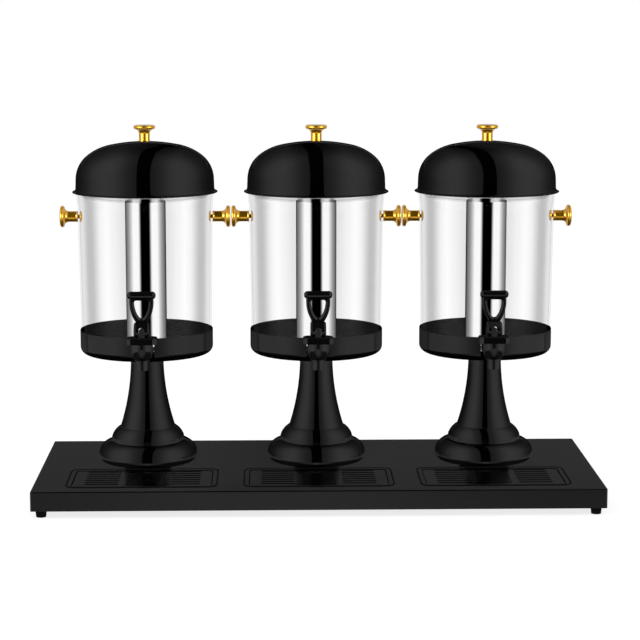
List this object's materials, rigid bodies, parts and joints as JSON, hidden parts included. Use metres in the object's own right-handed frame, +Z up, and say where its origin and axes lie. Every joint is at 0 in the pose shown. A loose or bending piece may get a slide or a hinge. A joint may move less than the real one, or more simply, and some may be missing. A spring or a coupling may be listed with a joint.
{
  "type": "juice dispenser",
  "caption": "Cold drink dispenser: clear lidded containers with ice tubes and lever taps on pedestals over drip trays on a long base plate.",
  "frame": {"origin": "on the floor under the middle of the base plate", "axes": "+X to the right along the row of containers, +Y to the back, away from the taps, +Z up"},
  "size_m": [0.87, 0.37, 0.577],
  "materials": {
    "plate_black": "satin black powder coat on folded steel",
    "pedestal_black": "gloss black enamel on spun steel",
    "cup_black": "gloss black enamel on spun steel",
    "lid_black": "gloss black enamel on spun steel",
    "tray_black": "satin black coat on pressed steel",
    "clear_plastic": "clear polycarbonate",
    "polished_steel": "mirror-polished stainless steel",
    "gold": "polished gold plate",
    "tap_black": "gloss black moulded plastic",
    "stem_plastic": "black acetal",
    "silicone": "soft silicone",
    "spring_steel": "stainless wire and pin",
    "rubber_black": "moulded black rubber",
    "fastener_steel": "zinc-plated steel"
  },
  "bodies": {
    "base": {"base_plate": "plate_black", "rubber_feet": "rubber_black", "pedestal_bolts": "fastener_steel", "pedestal_base_left": "pedestal_black", "column_left": "pedestal_black", "cup_left": "cup_black", "pedestal_base_middle": "pedestal_black", "column_middle": "pedestal_black", "cup_middle": "cup_black", "pedestal_base_right": "pedestal_black", "column_right": "pedestal_black", "cup_right": "cup_black"},
    "container_left": {"container_left": "clear_plastic", "inner_cover_left": "clear_plastic", "ice_tube_left": "polished_steel", "side_knobs_left": "gold", "tap_body_left": "tap_black", "tap_bonnet_left": "tap_black", "tap_nut_left": "tap_black", "tap_spring_left": "spring_steel"},
    "lid_left": {"lid_shell_left": "lid_black", "lid_knob_left": "gold"},
    "tap_stem_left": {"tap_stem_left": "stem_plastic", "tap_seal_left": "silicone", "tap_lever_pin_left": "spring_steel"},
    "tap_lever_left": {"tap_lever_left": "tap_black"},
    "drip_tray_left": {"drip_tray_left": "tray_black"},
    "drip_grid_left": {"drip_grid_left": "tray_black"},
    "container_middle": {"container_middle": "clear_plastic", "inner_cover_middle": "clear_plastic", "ice_tube_middle": "polished_steel", "side_knobs_middle": "gold", "tap_body_middle": "tap_black", "tap_bonnet_middle": "tap_black", "tap_nut_middle": "tap_black", "tap_spring_middle": "spring_steel"},
    "lid_middle": {"lid_shell_middle": "lid_black", "lid_knob_middle": "gold"},
    "tap_stem_middle": {"tap_stem_middle": "stem_plastic", "tap_seal_middle": "silicone", "tap_lever_pin_middle": "spring_steel"},
    "tap_lever_middle": {"tap_lever_middle": "tap_black"},
    "drip_tray_middle": {"drip_tray_middle": "tray_black"},
    "drip_grid_middle": {"drip_grid_middle": "tray_black"},
    "container_right": {"container_right": "clear_plastic", "inner_cover_right": "clear_plastic", "ice_tube_right": "polished_steel", "side_knobs_right": "gold", "tap_body_right": "tap_black", "tap_bonnet_right": "tap_black", "tap_nut_right": "tap_black", "tap_spring_right": "spring_steel"},
    "lid_right": {"lid_shell_right": "lid_black", "lid_knob_right": "gold"},
    "tap_stem_right": {"tap_stem_right": "stem_plastic", "tap_seal_right": "silicone", "tap_lever_pin_right": "spring_steel"},
    "tap_lever_right": {"tap_lever_right": "tap_black"},
    "drip_tray_right": {"drip_tray_right": "tray_black"},
    "drip_grid_right": {"drip_grid_right": "tray_black"}
  },
  "joints": [
    {"name": "container_lift_left", "type": "slide", "parent": "base", "child": "container_left", "axis": [0, 0, 1], "range_m": [0, 0.08]},
    {"name": "lid_lift_left", "type": "slide", "parent": "container_left", "child": "lid_left", "axis": [0, 0, 1], "range_m": [0, 0.12]},
    {"name": "tap_stem_lift_left", "type": "slide", "parent": "container_left", "child": "tap_stem_left", "axis": [0, 0, 1], "range_m": [0, 0.0045], "deforming": ["tap_spring_left"]},
    {"name": "tap_lever_tilt_left", "type": "hinge", "parent": "tap_stem_left", "child": "tap_lever_left", "pos_m": [-0.27, -0.0885, 0.268], "axis": [1, 0, 0], "range_deg": [0, 40], "stiffness_Nm_per_rad": 0.12, "springref_deg": -20.05},
    {"name": "drip_tray_lift_left", "type": "slide", "parent": "base", "child": "drip_tray_left", "axis": [0, 0, 1], "range_m": [0, 0.04]},
    {"name": "drip_grid_lift_left", "type": "slide", "parent": "drip_tray_left", "child": "drip_grid_left", "axis": [0, 0, 1], "range_m": [0, 0.03]},
    {"name": "container_lift_middle", "type": "slide", "parent": "base", "child": "container_middle", "axis": [0, 0, 1], "range_m": [0, 0.08]},
    {"name": "lid_lift_middle", "type": "slide", "parent": "container_middle", "child": "lid_middle", "axis": [0, 0, 1], "range_m": [0, 0.12]},
    {"name": "tap_stem_lift_middle", "type": "slide", "parent": "container_middle", "child": "tap_stem_middle", "axis": [0, 0, 1], "range_m": [0, 0.0045], "deforming": ["tap_spring_middle"]},
    {"name": "tap_lever_tilt_middle", "type": "hinge", "parent": "tap_stem_middle", "child": "tap_lever_middle", "pos_m": [0, -0.0885, 0.268], "axis": [1, 0, 0], "range_deg": [0, 40], "stiffness_Nm_per_rad": 0.12, "springref_deg": -20.05},
    {"name": "drip_tray_lift_middle", "type": "slide", "parent": "base", "child": "drip_tray_middle", "axis": [0, 0, 1], "range_m": [0, 0.04]},
    {"name": "drip_grid_lift_middle", "type": "slide", "parent": "drip_tray_middle", "child": "drip_grid_middle", "axis": [0, 0, 1], "range_m": [0, 0.03]},
    {"name": "container_lift_right", "type": "slide", "parent": "base", "child": "container_right", "axis": [0, 0, 1], "range_m": [0, 0.08]},
    {"name": "lid_lift_right", "type": "slide", "parent": "container_right", "child": "lid_right", "axis": [0, 0, 1], "range_m": [0, 0.12]},
    {"name": "tap_stem_lift_right", "type": "slide", "parent": "container_right", "child": "tap_stem_right", "axis": [0, 0, 1], "range_m": [0, 0.0045], "deforming": ["tap_spring_right"]},
    {"name": "tap_lever_tilt_right", "type": "hinge", "parent": "tap_stem_right", "child": "tap_lever_right", "pos_m": [0.27, -0.0885, 0.268], "axis": [1, 0, 0], "range_deg": [0, 40], "stiffness_Nm_per_rad": 0.12, "springref_deg": -20.05},
    {"name": "drip_tray_lift_right", "type": "slide", "parent": "base", "child": "drip_tray_right", "axis": [0, 0, 1], "range_m": [0, 0.04]},
    {"name": "drip_grid_lift_right", "type": "slide", "parent": "drip_tray_right", "child": "drip_grid_right", "axis": [0, 0, 1], "range_m": [0, 0.03]}
  ],
  "couplings": [
    {"joint": "tap_stem_lift_left", "follows": "tap_lever_tilt_left", "m_per_rad": 0.006173},
    {"joint": "tap_stem_lift_middle", "follows": "tap_lever_tilt_middle", "m_per_rad": 0.006173},
    {"joint": "tap_stem_lift_right", "follows": "tap_lever_tilt_right", "m_per_rad": 0.006173}
  ]
}
